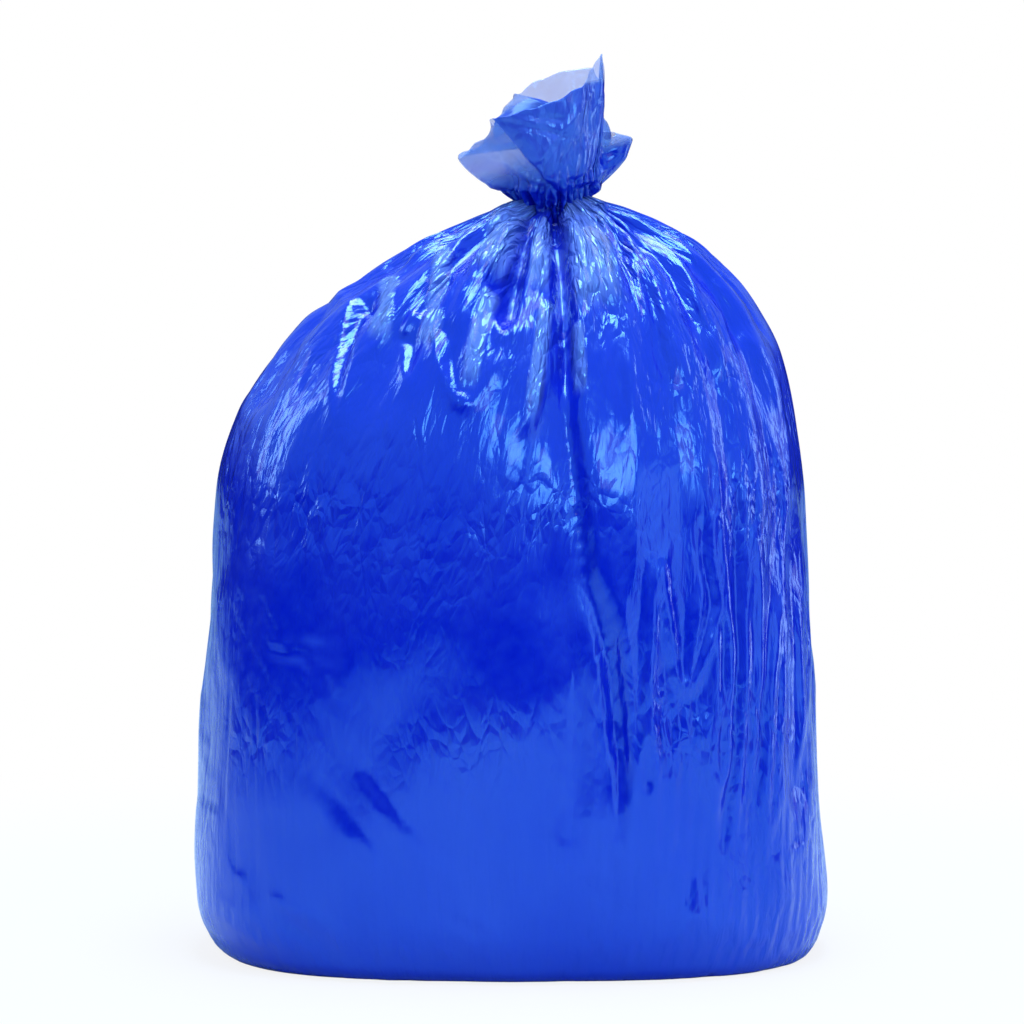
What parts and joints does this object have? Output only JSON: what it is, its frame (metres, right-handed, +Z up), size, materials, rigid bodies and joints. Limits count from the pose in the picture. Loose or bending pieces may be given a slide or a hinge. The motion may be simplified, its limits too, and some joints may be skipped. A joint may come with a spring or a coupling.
{
  "type": "garbage bag",
  "caption": "Filled blue film garbage bag standing on its base, gathered into pleats at a knotted neck under a tuft of loose film.",
  "frame": {"origin": "on the floor, under the middle of the bag's box", "axes": "+Z up through the neck and the tuft, front towards -Y, the bag's width along X"},
  "size_m": [0.5, 0.3808, 0.7139],
  "materials": {
    "blue_film": "glossy crinkled polythene film"
  },
  "bodies": {
    "root": {"garbage_bag": "blue_film"}
  },
  "joints": []
}
